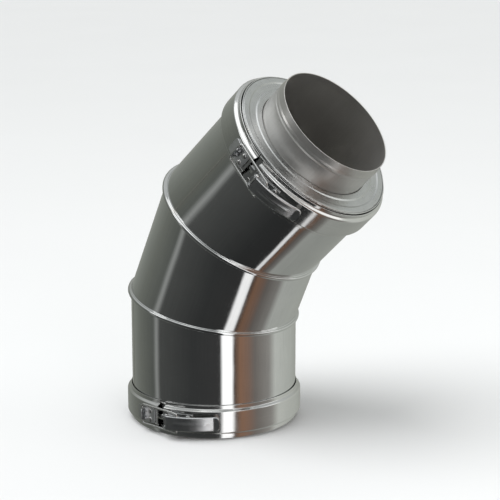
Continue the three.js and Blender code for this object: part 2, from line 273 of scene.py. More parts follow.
def ring_mesh(name, profile, leg, start=0.0, sweep=TAU):
    """Turns a closed profile round a leg's axis. Lean tips its points onto a mitre plane."""
    mesh = bpy.data.meshes.new(name)
    built = bmesh.new()
    uv = built.loops.layers.uv.new("sheet")
    closed = sweep == TAU
    segments = PIPE_SEGMENTS
    columns = segments if closed else segments + 1
    rings = []
    for radius, height, lean in profile:
        ring = []
        for j in range(columns):
            angle = start + sweep * j / segments
            x = radius * math.cos(angle)
            y = radius * math.sin(angle)
            ring.append(built.verts.new(leg @ Vector((x, y, height + lean * MITRE_SLOPE * x))))
        rings.append(ring)
    lengths = [0.0]
    for i in range(len(profile)):
        here = Vector(profile[i][:2])
        there = Vector(profile[(i + 1) % len(profile)][:2])
        lengths.append(lengths[-1] + (there - here).length)
    arc = sweep * max(point[0] for point in profile)
    for i, ring in enumerate(rings):
        above = rings[(i + 1) % len(rings)]
        for j in range(segments):
            k = (j + 1) % columns
            face = built.faces.new((ring[j], ring[k], above[k], above[j]))
            places = ((j, i), (j + 1, i), (j + 1, i + 1), (j, i + 1))
            for loop, (column, row) in zip(face.loops, places):
                loop[uv].uv = (arc * column / segments, lengths[row])
    if not closed:
        built.faces.new([ring[0] for ring in rings])
        built.faces.new([ring[-1] for ring in reversed(rings)])
    write_closed(built, mesh)
    if closed:
        mark_weld(mesh, len(profile), segments, arc)
    return mesh


def mark_weld(mesh, rows, columns, arc):
    """Notes on each point how close it is to the sheet's straight weld, which runs up the ring's
    first column: 1 on it, and 0 away from it."""
    marks = mesh.attributes.new("near_weld", "FLOAT", "POINT")
    for row in range(rows):
        for column in range(columns):
            away = min(column, columns - column) * arc / columns
            marks.data[row * columns + column].value = math.exp(-((away / WELD_TINT) ** 2))


def swept_mesh(name, sections, place):
    """Joins closed cross-sections, each a list of points, into one capped body."""
    mesh = bpy.data.meshes.new(name)
    built = bmesh.new()
    uv = built.loops.layers.uv.new("sheet")
    rows = [[built.verts.new(place(point)) for point in section] for section in sections]
    count = len(rows[0])
    along = 0.0
    for first, second in zip(rows, rows[1:]):
        step = (second[0].co - first[0].co).length
        around = 0.0
        for j in range(count):
            k = (j + 1) % count
            side = (first[k].co - first[j].co).length
            face = built.faces.new((first[j], first[k], second[k], second[j]))
            places = ((around, along), (around + side, along))
            places += ((around + side, along + step), (around, along + step))
            for loop, spot in zip(face.loops, places):
                loop[uv].uv = spot
            around += side
        along += step
    built.faces.new(list(reversed(rows[0])))
    built.faces.new(rows[-1])
    write_closed(built, mesh)
    return mesh


def turned_mesh(name, profile, place):
    """A small turned part. Its profile runs from end to end as (radius, height)."""
    turns = [TAU * i / PIN_SEGMENTS for i in range(PIN_SEGMENTS)]
    sections = []
    for radius, height in profile:
        reach = max(radius, AXIS_RADIUS)
        sections.append([(reach * math.cos(t), reach * math.sin(t), height) for t in turns])
    return swept_mesh(name, sections, place)


def wire_mesh(name, path, place):
    """A round wire along a path, with rounded ends."""
    first = (path[1] - path[0]).normalized()
    last = (path[-1] - path[-2]).normalized()
    stations = []
    sizes = [0.3 * WIRE_RADIUS, 0.75 * WIRE_RADIUS, WIRE_RADIUS]
    for size in sizes:
        stations.append((path[0] + first * (WIRE_RADIUS - size) * 0.5, first, size))
    for i in range(1, len(path) - 1):
        stations.append((path[i], (path[i + 1] - path[i - 1]).normalized(), WIRE_RADIUS))
    for size in reversed(sizes):
        stations.append((path[-1] - last * (WIRE_RADIUS - size) * 0.5, last, size))
    turns = [TAU * i / WIRE_SEGMENTS for i in range(WIRE_SEGMENTS)]
    side = first.orthogonal().normalized()
    sections = []
    for centre, direction, size in stations:
        side = (side - direction * side.dot(direction)).normalized()
        up = direction.cross(side)
        ring = [centre + (side * math.cos(t) + up * math.sin(t)) * size for t in turns]
        sections.append([tuple(point) for point in ring])
    return swept_mesh(name, sections, place)


def plate_mesh(name, outline, thickness, place, holes=(), step=None):
    """A sheet cut to an outline, with softened edges and holes. `place` puts each flat point,
    (x, y, height over the sheet's middle), where it belongs. The sheet is cut across every
    `step` in x, so that it can bend."""
    curve = bpy.data.curves.new(name, "CURVE")
    curve.dimensions = "2D"
    curve.fill_mode = "BOTH"
    curve.extrude = thickness / 2 - PLATE_EDGE
    curve.bevel_depth = PLATE_EDGE
    curve.bevel_resolution = 2
    curve.offset = -PLATE_EDGE
    for loop in (outline, *holes):
        spline = curve.splines.new("POLY")
        spline.points.add(len(loop) - 1)
        for point, (x, y) in zip(spline.points, loop):
            point.co = (x, y, 0, 1)
        spline.use_cyclic_u = True
    helper = bpy.data.objects.new(name + "_outline", curve)
    mesh = bpy.data.meshes.new_from_object(helper)
    bpy.data.objects.remove(helper)
    bpy.data.curves.remove(curve)
    mesh.name = name
    built = bmesh.new()
    built.from_mesh(mesh)
    bmesh.ops.remove_doubles(built, verts=built.verts, dist=SAME_POINT)
    if step:
        low = min(x for x, y in outline)
        high = max(x for x, y in outline)
        for i in range(1, math.ceil((high - low) / step)):
            parts = built.verts[:] + built.edges[:] + built.faces[:]
            bmesh.ops.bisect_plane(
                built, geom=parts, plane_co=(low + i * step, 0, 0), plane_no=(1, 0, 0)
            )
    uv = built.loops.layers.uv.new("sheet")
    for face in built.faces:
        for loop in face.loops:
            loop[uv].uv = (loop.vert.co.x, loop.vert.co.y + loop.vert.co.z)
    for vert in built.verts:
        vert.co = place(vert.co)
    write_closed(built, mesh)
    return mesh


def join_meshes(name, meshes):
    """One mesh that holds several."""
    built = bmesh.new()
    for mesh in meshes:
        built.from_mesh(mesh)
        bpy.data.meshes.remove(mesh)
    joined = bpy.data.meshes.new(name)
    built.to_mesh(joined)
    built.free()
    return joined


# ---------------------------------------------------------------- materials


class Nodes:
    """Short ways to add nodes to a material or to the world."""

    def __init__(self, owner):
        owner.use_nodes = True
        self.tree = owner.node_tree
        self.shader = self.tree.nodes.get("Principled BSDF")

    def add(self, kind, inputs=None, **settings):
        """Adds a node. An input is a plain value or another node's output."""
        node = self.tree.nodes.new(kind)
        for key, value in settings.items():
            setattr(node, key, value)
        for key, value in (inputs or {}).items():
            if isinstance(value, bpy.types.NodeSocket):
                self.tree.links.new(value, node.inputs[key])
            else:
                node.inputs[key].default_value = value
        return node

    def noise(self, vector, scale, detail=3.0, roughness=0.5):
        inputs = {"Vector": vector, "Scale": scale, "Detail": detail, "Roughness": roughness}
        return self.add("ShaderNodeTexNoise", inputs).outputs["Fac"]

    def spread(self, value, low, high, from_low=0.3, from_high=0.7):
        """Spreads values between from_low and from_high out between low and high."""
        inputs = {"Value": value, "From Min": from_low, "From Max": from_high}
        inputs |= {"To Min": low, "To Max": high}
        return self.add("ShaderNodeMapRange", inputs).outputs["Result"]

    def mix(self, value, first, second, **settings):
        """Mixes two colours, each a plain colour or another node's output."""
        inputs = {0: value}
        for key, colour in ((6, first), (7, second)):
            linked = isinstance(colour, bpy.types.NodeSocket)
            inputs[key] = colour if linked else (*colour, 1)
        return self.add("ShaderNodeMix", inputs, data_type="RGBA", **settings).outputs[2]

    def ramp(self, value, stops):
        """Colours along a value from 0 to 1. A stop is (place, colour)."""
        node = self.add("ShaderNodeValToRGB", {"Fac": value})
        elements = node.color_ramp.elements
        while len(elements) > 1:
            elements.remove(elements[-1])
        for i, (place, colour) in enumerate(stops):
            element = elements[0] if i == 0 else elements.new(place)
            element.position = place
            element.color = (*colour, 1)
        return node.outputs["Color"]

    def plus(self, first, second):
        inputs = {0: first, 1: second}
        return self.add("ShaderNodeMath", inputs, operation="ADD").outputs[0]

    def bump(self, height, distance, normal=None):
        inputs = {"Height": height, "Distance": distance}
        if normal is not None:
            inputs["Normal"] = normal
        return self.add("ShaderNodeBump", inputs).outputs["Normal"]

    def into(self, socket, value):
        self.tree.links.new(value, self.shader.inputs[socket])


STRAW = (0.66, 0.56, 0.4)

# The finish of each metal. `rough` is its lowest and highest roughness. `grain` is how many grain
# lines a metre holds across and along the sheet, and `wave` and `smudge` how many soft waves and
# finger marks. `tint` is the strength of the straw colour that heat leaves beside a weld.
FINISHES = {
    "casing_steel": {
        "light": (0.76, 0.765, 0.76), "dark": (0.69, 0.695, 0.695), "rough": (0.05, 0.12),
        "grain": (900, 14), "grain_depth": 0.008 * MM,
        "wave": 16, "wave_depth": 0.3 * MM, "smudge": 26, "tint": 0.12,
    },
    "band_steel": {
        "light": (0.78, 0.78, 0.77), "dark": (0.71, 0.71, 0.705), "rough": (0.08, 0.18),
        "grain": (14, 1400), "grain_depth": 0.01 * MM,
        "wave": 30, "wave_depth": 0.1 * MM, "smudge": 40,
    },
    "ring_steel": {
        "light": (0.66, 0.67, 0.67), "dark": (0.56, 0.57, 0.57), "rough": (0.24, 0.38),
        "grain": (30, 1200), "grain_depth": 0.015 * MM,
        "wave": 30, "wave_depth": 0.1 * MM, "smudge": 50,
    },
    "liner_steel": {
        "light": (0.66, 0.65, 0.63), "dark": (0.6, 0.59, 0.57), "rough": (0.28, 0.4),
        "grain": (700, 18), "grain_depth": 0.012 * MM,
        "wave": 20, "wave_depth": 0.1 * MM, "smudge": 30, "tint": 0.35, "metallic": 0.88,
    },
    "latch_steel": {
        "light": (0.72, 0.73, 0.74), "dark": (0.64, 0.65, 0.66), "rough": (0.26, 0.38),
        "grain": (260, 2600), "grain_depth": 0.006 * MM,
        "wave": 60, "wave_depth": 0.02 * MM, "smudge": 160,
    },
    "rivet_steel": {
        "light": (0.7, 0.7, 0.69), "dark": (0.6, 0.6, 0.595), "rough": (0.22, 0.34),
        "grain": (900, 900), "grain_depth": 0.006 * MM,
        "wave": 100, "wave_depth": 0.01 * MM, "smudge": 300,
    },
    "wire_steel": {
        "light": (0.74, 0.74, 0.73), "dark": (0.64, 0.64, 0.63), "rough": (0.16, 0.28),
        "grain": (2400, 60), "grain_depth": 0.006 * MM,
        "wave": 80, "wave_depth": 0.01 * MM, "smudge": 200,
    },
    "weld_steel": {
        "light": (0.7, 0.69, 0.67), "dark": (0.64, 0.62, 0.59), "rough": (0.2, 0.28),
        "grain": (60, 420), "grain_depth": 0.002 * MM,
        "wave": 80, "wave_depth": 0.01 * MM, "smudge": 220,
    },
}


def metal(
    name, light, dark, rough, grain, grain_depth, wave, wave_depth, smudge, tint=0.0, metallic=1.0
):
    """A sheet or drawn metal with grain, finger marks, scuffs and soft waves."""
    material = bpy.data.materials.new(name)
    nodes = Nodes(material)
    nodes.shader.inputs["Metallic"].default_value = metallic
    sheet = nodes.add("ShaderNodeUVMap", uv_map="sheet").outputs["UV"]
    stretched = nodes.add("ShaderNodeMapping", {"Vector": sheet, "Scale": (*grain, 1)})
    lines = nodes.noise(stretched.outputs["Vector"], 1.0, detail=4.0, roughness=0.65)
    marks = nodes.noise(sheet, smudge, detail=6.0, roughness=0.6)
    waves = nodes.noise(sheet, wave, detail=1.0)
    tone = nodes.spread(nodes.plus(lines, marks), 0.0, 1.0, 0.75, 1.25)
    colour = nodes.mix(tone, dark, light)
    if tint:
        near = nodes.add("ShaderNodeAttribute", attribute_name="near_weld").outputs["Fac"]
        colour = nodes.mix(nodes.spread(near, 0.0, tint, 0.0, 1.0), colour, STRAW)
    nodes.into("Base Color", colour)
    scuff_scale = (1.2 * grain[1], 0.4 * grain[0], 1)
    scuff_turn = (0, 0, 0.5)
    slant = {"Vector": sheet, "Rotation": scuff_turn, "Scale": scuff_scale}
    slanted = nodes.add("ShaderNodeMapping", slant)
    scuffs = nodes.noise(slanted.outputs["Vector"], 1.0, detail=2.0)
    span = rough[1] - rough[0]
    scuffed = nodes.spread(scuffs, 0.0, 0.6 * span, 0.66, 0.72)
    grained = nodes.spread(lines, 0.0, 0.4 * span)
    smeared = nodes.spread(marks, rough[0], rough[0] + 0.6 * span, 0.4, 0.68)
    nodes.into("Roughness", nodes.plus(scuffed, nodes.plus(grained, smeared)))
    rolled = nodes.bump(waves, wave_depth)
    nodes.into("Normal", nodes.bump(lines, grain_depth, normal=rolled))
    return material


def mineral_wool():
    """Matt yellow-brown fibres. The end rings close it in."""
    material = bpy.data.materials.new("mineral_wool")
    nodes = Nodes(material)
    place = nodes.add("ShaderNodeTexCoord").outputs["Object"]
    squeezed = nodes.add("ShaderNodeMapping", {"Vector": place, "Scale": (1, 1, 4)})
    fibres = nodes.noise(squeezed.outputs["Vector"], 420.0, detail=8.0, roughness=0.75)
    clumps = nodes.noise(place, 60.0, detail=4.0)
    tone = nodes.spread(nodes.plus(fibres, clumps), 0.0, 1.0, 0.75, 1.25)
    nodes.into("Base Color", nodes.mix(tone, (0.4, 0.3, 0.14), (0.72, 0.6, 0.36)))
    nodes.into("Roughness", nodes.spread(clumps, 0.9, 1.0))
    nodes.into("Normal", nodes.bump(fibres, 1.5 * MM))
    return material


steels = {name: metal(name, **finish) for name, finish in FINISHES.items()}
wool = mineral_wool()
for node_name in ("lower_insulation", "middle_insulation", "upper_insulation"):
    for material_slot in frame["nodes"][node_name].material_slots:
        material_slot.material = wool


# ---------------------------------------------------------------- pipe


def bead_corners(centre):
    """The rolled bead that a locking band turns on."""
    crest = CASING + BEAD_HEIGHT
    return [
        (CASING, centre - BEAD_HALF_WIDTH, 0, BEAD_FILLET),
        (crest, centre - BEAD_CREST_HALF_WIDTH, 0, BEAD_FILLET),
        (crest, centre + BEAD_CREST_HALF_WIDTH, 0, BEAD_FILLET),
        (CASING, centre + BEAD_HALF_WIDTH, 0, BEAD_FILLET),
    ]


def plain_flange(length):
    """The top of a gore: a thin flange that the next gore's edge is folded over."""
    edge = CASING + FLANGE_REACH
    under = length - FLANGE_THICKNESS
    return [
        (CASING, under, -1, 0.3 * MM),
        (edge, under, -1, 0),
        (edge, length, -1, 0),
        (CASING - SHEET, length, -1, 0),
    ]


def folded_flange():
    """The bottom of a gore: its edge turns out and is folded down over the flange below."""
    crest = CASING + FOLD_CREST
    past_flange = CASING + FOLD_INNER
    under_flange = -FLANGE_THICKNESS - SEAM_GAP
    return [
        (CASING - SHEET, SEAM_GAP, 1, 0),
        (past_flange, SEAM_GAP, 1, 0),
        (past_flange, under_flange, 1, 0),
        (CASING + GAP, under_flange, 1, 0),
        (CASING + GAP, -FOLD_HALF_HEIGHT, 1, 0.35 * MM),
        (crest, -FOLD_HALF_HEIGHT, 1, 1.3 * MM),
        (crest, FOLD_HALF_HEIGHT, 1, 1.5 * MM),
        (CASING, FOLD_HALF_HEIGHT, 1, 0.8 * MM),
    ]


def weld_line(name, slot, leg, radius, degrees, ends, leans, inside=False):
    """A straight weld up a sheet: a low, smooth bead between two heights on a leg."""
    steps = 60
    sides = 12
    side = -1 if inside else 1
    turn = math.radians(degrees)
    x_at_weld = radius * math.cos(turn)
    low, high = (end + lean * MITRE_SLOPE * x_at_weld for end, lean in zip(ends, leans))
    around = [TAU * i / sides for i in range(sides)]
    sections = []
    for i in range(steps + 1):
        z = low + (high - low) * i / steps
        section = []
        for part in around:
            across = WELD_HALF_WIDTH * math.cos(part) / radius
            out = radius + side * WELD_HEIGHT * math.sin(part)
            section.append((out * math.cos(turn + across), out * math.sin(turn + across), z))
        sections.append(section)
    mesh = swept_mesh(name, sections, lambda point: leg @ Vector(point))
    finish_piece(mesh, name, "elbow", slot, finish="weld_steel", smooth_angle=60)


def build_skin(part, slot, radius, sheets, inside=False):
    """The elbow's casing or liner: three rolled sheets, then the weld up each. A sheet is (prefix,
    leg, corners, the weld's place in degrees, the weld's two ends, how each end leans)."""
    for prefix, leg, corners, degrees, _, _ in sheets:
        name = f"{prefix}_{part}"
        mesh = ring_mesh(name, rounded_profile(corners), leg, start=math.radians(degrees))
        finish_piece(mesh, name + "_sheet", "elbow", slot, [name])
    for prefix, leg, _, degrees, ends, leans in sheets:
        name = f"{prefix}_{part}_weld"
        weld_line(name, slot, leg, radius, degrees, ends, leans, inside)


def build_casings():
    lower = [
        (CASING - SHEET, 0, 0, 0.3 * MM),
        (CASING, 0, 0, 0.5 * MM),
        *bead_corners(BAND_CENTRE),
        *plain_flange(LEG_LENGTH),
    ]
    middle = [*folded_flange(), *plain_flange(MIDDLE_LENGTH)]
    upper = [
        *folded_flange(),
        *bead_corners(LEG_LENGTH - BAND_CENTRE),
        (CASING, LEG_LENGTH, 0, 0.5 * MM),
        (CASING - SHEET, LEG_LENGTH, 0, 0.3 * MM),
    ]
    fold = 2.2 * MM  # from a seam to the weld's end
    edge = 0.5 * MM  # from an open edge to the weld's end
    sheets = [
        ("lower", lower_leg, lower, -128, (edge, LEG_LENGTH - fold), (0, -1)),
        ("middle", middle_leg, middle, 62, (fold, MIDDLE_LENGTH - fold), (1, -1)),
        ("upper", upper_leg, upper, -112, (fold, LEG_LENGTH - edge), (1, 0)),
    ]
    build_skin("casing", "casing_steel", CASING, sheets)


def build_liners():
    tip = LEG_LENGTH + SPIGOT
    lead = tip - 7 * MM  # where the spigot starts to narrow
    bead = LINER + 0.5 * MM
    narrowed = 0.6 * MM
    above_socket = SOCKET_DEPTH + SOCKET_TAPER
    wide, rolled, cut = 3 * MM, 2 * MM, 0.4 * MM  # how round the bends and the cut edges are
    lower = [
        (SOCKET_INNER, 0, 0, cut),
        (SOCKET_OUTER, 0, 0, cut),
        (SOCKET_OUTER, SOCKET_DEPTH, 0, wide),
        (LINER, above_socket, 0, wide),
        (LINER, LEG_LENGTH - SEAM_GAP, -1, 0),
        (BORE, LEG_LENGTH - SEAM_GAP, -1, 0),
        (BORE, above_socket, 0, wide),
        (SOCKET_INNER, SOCKET_DEPTH, 0, wide),
    ]
    middle = [
        (BORE, SEAM_GAP, 1, 0),
        (LINER, SEAM_GAP, 1, 0),
        (LINER, MIDDLE_LENGTH - SEAM_GAP, -1, 0),
        (BORE, MIDDLE_LENGTH - SEAM_GAP, -1, 0),
    ]
    upper = [
        (BORE, SEAM_GAP, 1, 0),
        (LINER, SEAM_GAP, 1, 0),
        (LINER, lead - 6 * MM, 0, rolled),
        (bead, lead - 4 * MM, 0, rolled),
        (bead, lead - 2 * MM, 0, rolled),
        (LINER, lead, 0, rolled),
        (LINER - narrowed, tip, 0, cut),
        (BORE - narrowed, tip, 0, cut),
        (BORE, lead, 0, rolled),
    ]
    upper_weld = -160  # degrees round the leg. The spigot is part of the same sheet
    sheets = [
        ("lower", lower_leg, lower, 40, (above_socket + SOCKET_TAPER, LEG_LENGTH), (0, -1)),
        ("middle", middle_leg, middle, -70, (0, MIDDLE_LENGTH), (1, -1)),
        ("upper", upper_leg, upper, upper_weld, (0, lead - 8 * MM), (1, 0)),
    ]
    build_skin("liner", "liner_steel", BORE, sheets, inside=True)
    on_spigot = (LEG_LENGTH - MM, lead - 7 * MM)
    weld_line("spigot_weld", "liner_steel", upper_leg, LINER, upper_weld, on_spigot, (0, 0))


def end_ring_piece(name, inner, leg, face, inward):
    """A pressed channel ring. `inward` is the way from its web into the pipe, along the leg. A
    shallow round groove is pressed into the web to stiffen it."""
    outer = CASING - SHEET - GAP
    middle = (inner + outer) / 2
    web = face + inward * 1.2 * MM
    tip = face + inward * 6 * MM
    depth = inward * 0.7 * MM
    groove = [(-5 * MM, 0), (-3.4 * MM, depth), (3.4 * MM, depth), (5 * MM, 0)]
    soft, crisp = 1.5 * MM, 0.3 * MM
    corners = [
        (inner, face, 0, 0.9 * MM),
        *((middle + across, face + sunk, 0, soft) for across, sunk in groove),
        (outer, face, 0, 0.9 * MM),
        (outer, tip, 0, crisp),
        (outer - SHEET, tip, 0, crisp),
        (outer - SHEET, web, 0, 0.4 * MM),
        *((middle + across, web + sunk, 0, soft) for across, sunk in reversed(groove)),
        (inner + SHEET, web, 0, 0.4 * MM),
        (inner + SHEET, tip, 0, crisp),
        (inner, tip, 0, crisp),
    ]
    mesh = ring_mesh(name, rounded_profile(corners), leg)
    finish_piece(mesh, name + "_pressing", "elbow", "ring_steel", [name])


# ---------------------------------------------------------------- locking bands


def on_circle(x, radius):
    return (x, math.sqrt(radius * radius - x * x))


def clamp(share):
    return min(1.0, max(0.0, share))


def lever_line():
    """Points along the middle of the lever's back, from its heel to its lifted tip."""
    back_steps = 30
    lip_steps = 10
    turning_steps = 4
    start = Vector(on_circle(*LEVER_HEEL))
    end = Vector(on_circle(*LEVER_TIP))
    along = (end - start).normalized()
    half = (end - start).length / 2
    inward = Vector((along.y, -along.x))
    centre = (start + end) / 2 + inward * math.sqrt(LEVER_BEND**2 - half * half)
    first = math.atan2(start.y - centre.y, start.x - centre.x)
    last = math.atan2(end.y - centre.y, end.x - centre.x)
    points = []
    for i in range(back_steps + 1):
        turn = first + (last - first) * i / back_steps
        points.append(centre + LEVER_BEND * Vector((math.cos(turn), math.sin(turn))))
    heading = last - TAU / 4
    for i in range(1, lip_steps + 1):
        eased = heading + LEVER_LIP_TURN * min(1.0, i / turning_steps)
        step = Vector((math.cos(eased), math.sin(eased)))
        points.append(points[-1] + step * LEVER_LIP / lip_steps)
    return points


def lever_section(middle, out, width, fold, rib):
    """A pressed strip's cross-section: its edges turn down by `fold`, and a rounded rib stands up
    along its middle."""
    flat_steps = 6
    bend_steps = 5
    half = PLATE / 2
    radius = min(LEVER_FOLD_RADIUS, fold - 0.1 * MM)
    inner_radius = radius - PLATE
    flat_width = width - radius
    outer = []
    inner = []
    for i in range(-flat_steps, flat_steps + 1):
        z = i / flat_steps * flat_width
        swell = rib * 0.5 * (1 + math.cos(math.pi * min(1.0, abs(z) / LEVER_RIB_HALF_WIDTH)))
        outer.append((z, half + swell))
        inner.append((z, -half + swell))
    bend = []
    under_bend = []
    for i in range(1, bend_steps + 1):
        turn = math.radians(90 * i / bend_steps)
        drop = 1 - math.cos(turn)
        bend.append((flat_width + radius * math.sin(turn), half - radius * drop))
        under = (flat_width + inner_radius * math.sin(turn), -half - inner_radius * drop)
        under_bend.append(under)
    bend.append((width, half - fold))
    under_bend.append((width - PLATE, half - fold))
    outer = [(-z, height) for z, height in reversed(bend)] + outer + bend
    inner = [(-z, height) for z, height in reversed(under_bend)] + inner + under_bend
    loop = outer + list(reversed(inner))
    return [(*(middle + out * height), z) for z, height in loop]


def lever_sections(points):
    """The lever's cross-sections. It is rounded at its tip, folded deepest between the bail and
    the tip, and its rib fades out towards both ends."""
    clear_of_bail = 2.5 * MM
    deepening = 3 * MM
    fold_ends, fold_fades = 0.86, 0.3  # shares of the lever's length, as are the rib's
    rib_starts, rib_ends, rib_fades = 0.12, 0.8, 0.06
    total = sum((b - a).length for a, b in zip(points, points[1:]))
    sections = []
    travelled = 0.0
    for i, point in enumerate(points):
        before = points[max(i - 1, 0)]
        after = points[min(i + 1, len(points) - 1)]
        direction = (after - before).normalized()
        out = Vector((-direction.y, direction.x))
        share = travelled / total
        if i + 1 < len(points):
            travelled += (points[i + 1] - point).length
        to_tip = (1 - share) * total
        width = CHEEK_INNER + PLATE
        if to_tip < LEVER_TIP_CORNER:
            from_centre = LEVER_TIP_CORNER - to_tip
            squared = max(LEVER_TIP_CORNER**2 - from_centre**2, 0)
            width -= LEVER_TIP_CORNER - math.sqrt(squared)
        past_bail = clamp((point.x - BAIL_PIVOT[0] - clear_of_bail) / deepening)
        before_tip = clamp((fold_ends - share) / fold_fades)
        fold = LEVER_EDGE + past_bail * before_tip * LEVER_FOLD
        rib = LEVER_RIB * clamp(min(share - rib_starts, rib_ends - share) / rib_fades)
        sections.append(lever_section(point, out, width, fold, rib))
    return sections


def build_band(prefix, leg, centre):
    """One locking band with its over-centre latch, in a leg's frame."""
    band = prefix + "_band"
    latch = leg @ Matrix.Translation((0, 0, centre))

    def flat(point):
        """A point (x, h, z) of the latch's own plane, in the row's frame."""
        x, h, z = point
        return latch @ Vector((x, -h, z))

    def on_saddle(point):
        """A flat point wrapped round the strap: x along it, y along the pipe, z outwards."""
        turn = point.x / SADDLE_MIDDLE
        out = SADDLE_MIDDLE + point.z
        return flat((out * math.sin(turn), out * math.cos(turn), point.y))

    def upright(middle_z):
        """Stands a flat plate on edge across the strap, at one distance along the pipe."""
        return lambda point: flat((point.x, point.y, middle_z + point.z))

    def strap():
        inset = 0.6 * MM
        lip_outer = LIP_INNER + SHEET
        foot = CHANNEL_HALF_WIDTH + CHANNEL_SLOPE
        outer = [
            (lip_outer, BAND_HALF_WIDTH, 0.35 * MM),
            (lip_outer, foot, 1.0 * MM),
            (CROWN_OUTER, CHANNEL_HALF_WIDTH, 1.6 * MM),
        ]
        inner = [
            (LIP_INNER, BAND_HALF_WIDTH, 0.35 * MM),
            (LIP_INNER, foot - inset, 1.4 * MM),
            (CROWN_INNER, CHANNEL_HALF_WIDTH - inset, 0.8 * MM),
        ]
        corners = [(radius, -z, 0, fillet) for radius, z, fillet in outer]
        corners += [(radius, z, 0, fillet) for radius, z, fillet in reversed(outer)]
        corners += [(radius, z, 0, fillet) for radius, z, fillet in inner]
        corners += [(radius, -z, 0, fillet) for radius, z, fillet in reversed(inner)]
        half_gap = STRAP_GAP_HALF / CROWN_OUTER
        start = -TAU / 4 + half_gap
        profile = rounded_profile(corners, steps=5)
        mesh = ring_mesh(band + "_strap", profile, latch, start, TAU - 2 * half_gap)
        finish_piece(mesh, band + "_strap_rolled", band, "band_steel", [band + "_strap"])

    def saddle_plate(name, span):
        low, high = (math.asin(x / SADDLE_MIDDLE) * SADDLE_MIDDLE for x in span)
        half = PLATE_HALF_WIDTH
        corners = [(low, -half), (high, -half), (high, half), (low, half)]
        outline = rounded_outline([(*corner, PLATE_CORNER) for corner in corners])
        return plate_mesh(name, outline, PLATE, on_saddle, step=1.5 * MM)

    def base():
        """A curved plate with two upright ears that hold the lever's pin."""
        root = SADDLE_MIDDLE + 0.2 * MM
        crown = arc_points(LEVER_PIVOT, EAR_RADIUS, 180, 30, 20)
        feet = [on_circle(x * MM, root) for x in (22, 19, 16, 13, 10)]
        hole = circle_outline(*LEVER_PIVOT, PIN_RADIUS + 0.15 * MM)
        parts = [saddle_plate(band + "_base_plate", BASE_SPAN)]
        for side in (-1, 1):
            place = upright(side * (EAR_INNER + PLATE / 2))
            parts.append(plate_mesh(band + "_ear", crown + feet, PLATE, place, [hole]))
        name = prefix + "_latch_base"
        mesh = join_meshes(name, parts)
        finish_piece(mesh, name + "_pressing", band, "latch_steel", [name])

    def keeper():
        """A curved plate with an upright hook that the bail's bar pulls on."""
        left = BAIL_HOOK[0] + WIRE_RADIUS + GAP
        foot = on_circle(left, SADDLE_MIDDLE)[1]
        neck = foot + 1.6 * MM
        top = BAIL_HOOK[1] + 5 * MM
        foot_half = 7.2 * MM
        tab_half = 6 * MM
        tab = rounded_outline(
            [
                (-foot_half, foot, 0),
                (foot_half, foot, 0),
                (tab_half, neck, 1.2 * MM),
                (tab_half, top, 2.2 * MM),
                (-tab_half, top, 2.2 * MM),
                (-tab_half, neck, 1.2 * MM),
            ]
        )

        def standing(point):
            return flat((left + PLATE / 2 + point.z, point.y, point.x))

        parts = [saddle_plate(band + "_keeper_plate", KEEPER_SPAN)]
        parts.append(plate_mesh(band + "_keeper_tab", tab, PLATE, standing))
        in_tab = left + 0.6 * PLATE
        gusset_top = foot + 3.2 * MM
        gusset_foot = left + PLATE + 3.4 * MM
        gusset = [
            (in_tab, foot),
            on_circle(gusset_foot, SADDLE_MIDDLE),
            (left + PLATE, gusset_top),
            (in_tab, gusset_top),
        ]
        for side in (-2.6 * MM, 2.6 * MM):
            parts.append(plate_mesh(band + "_gusset", gusset, 1.0 * MM, upright(side)))
        name = prefix + "_latch_keeper"
        mesh = join_meshes(name, parts)
        finish_piece(mesh, name + "_pressing", band, "latch_steel", [name])

    def rivet(node, x, z):
        """A domed head on the plate and a set tail under the strap."""
        head = SADDLE_INNER + PLATE + 0.05 * MM
        rim = head + 0.25 * MM
        head_radius = 2.8 * MM
        dome_height = 1.3 * MM
        tail = CROWN_INNER - 0.65 * MM
        tail_radius = 2.4 * MM
        tail_end = tail - 0.7 * MM
        profile = [
            (0.0, tail_end),
            (tail_radius - 0.4 * MM, tail_end),
            (tail_radius, tail - 0.3 * MM),
            (tail_radius, tail),
            (RIVET_RADIUS, tail),
            (RIVET_RADIUS, head),
            (head_radius - 0.05 * MM, head),
        ]
        dome_steps = 8
        for i in range(dome_steps + 1):
            turn = math.radians(90 * i / dome_steps)
            profile.append((head_radius * math.cos(turn), rim + dome_height * math.sin(turn)))
        lean = math.asin(x / SADDLE_MIDDLE)

        def place(point):
            across, along, out = point
            side = across * math.cos(lean) + out * math.sin(lean)
            height = out * math.cos(lean) - across * math.sin(lean)
            return flat((side, height, z + along))

        mesh = turned_mesh(node, profile, place)
        finish_piece(mesh, node + "_headed", band, "rivet_steel", [node])

    def pin():
        """A headed pin that is peened over at its far side."""
        inner = CHEEK_INNER + PLATE + 0.15 * MM
        profile = [
            (0.0, -inner - 1.0 * MM),
            (1.6 * MM, -inner - 0.9 * MM),
            (2.5 * MM, -inner - 0.45 * MM),
            (2.6 * MM, -inner - 0.1 * MM),
            (2.5 * MM, -inner),
            (PIN_RADIUS, -inner),
            (PIN_RADIUS, inner),
            (2.2 * MM, inner),
            (2.3 * MM, inner + 0.3 * MM),
            (1.8 * MM, inner + 0.8 * MM),
            (0.7 * MM, inner + 1.0 * MM),
            (0.0, inner + 0.8 * MM),
        ]

        def place(point):
            across, up, z = point
            return flat((LEVER_PIVOT[0] + across, LEVER_PIVOT[1] + up, z))

        name = prefix + "_lever_pin"
        mesh = turned_mesh(name, profile, place)
        finish_piece(mesh, name + "_headed", band, "rivet_steel", [name])

